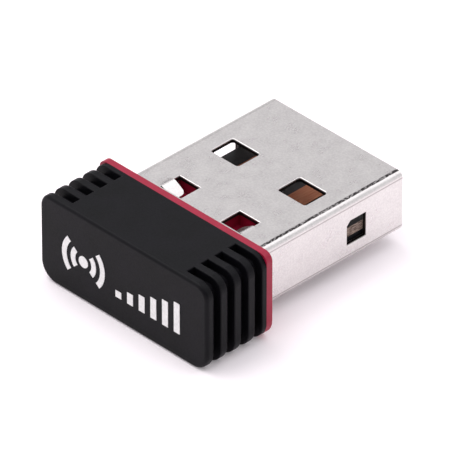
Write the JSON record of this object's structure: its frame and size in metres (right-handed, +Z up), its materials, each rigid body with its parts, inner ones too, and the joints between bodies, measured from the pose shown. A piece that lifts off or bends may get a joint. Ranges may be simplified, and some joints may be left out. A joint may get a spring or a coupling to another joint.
{
  "type": "usb wifi adapter",
  "caption": "Very short USB wifi adapter: folded metal USB-A plug, thin crimson collar and a short black cap with grip grooves down both sides and a white printed mark on its end.",
  "frame": {"origin": "on the plug's axis, in the collar's face that stops against the port", "axes": "+Y along the plug to its tip, +Z up out of the face with the bent-in tabs, +X to the right"},
  "size_m": [0.0152, 0.0191, 0.0065],
  "materials": {
    "shell_steel": "bright nickel plate, satin",
    "crimson_plastic": "moulded, low sheen",
    "black_plastic": "moulded, fine spark texture",
    "white_ink": "pad print",
    "board_laminate": "black solder mask on glass laminate",
    "contact_gold": "gold flash",
    "copper_trace": "etched copper under mask",
    "chip_resin": "moulded resin",
    "tin_solder": "tin plate and solder",
    "capacitor_ceramic": "fired tan ceramic",
    "resistor_black": "glazed black",
    "ferrite": "pressed ferrite",
    "crystal_ceramic": "dark alumina"
  },
  "bodies": {
    "root": {"rear_cap": "black_plastic", "cap_mark": "white_ink", "collar_carrier": "crimson_plastic", "plug_shell": "shell_steel", "circuit_board": "board_laminate", "board_support": "black_plastic", "vbus_contact": "contact_gold", "data_minus_contact": "contact_gold", "data_plus_contact": "contact_gold", "ground_contact": "contact_gold", "wifi_chip": "chip_resin", "chip_terminals": "tin_solder", "chip_heat_pad": "tin_solder", "crystal_base": "crystal_ceramic", "crystal_lid": "tin_solder", "power_inductor": "ferrite", "inductor_terminals": "tin_solder", "bypass_capacitors": "capacitor_ceramic", "bypass_capacitor_ends": "tin_solder", "bulk_capacitors": "capacitor_ceramic", "bulk_capacitor_ends": "tin_solder", "resistors": "resistor_black", "resistor_ends": "tin_solder", "antenna_matching_parts": "capacitor_ceramic", "antenna_matching_ends": "tin_solder", "printed_antenna": "copper_trace", "shell_ground_joints": "tin_solder"}
  },
  "joints": []
}
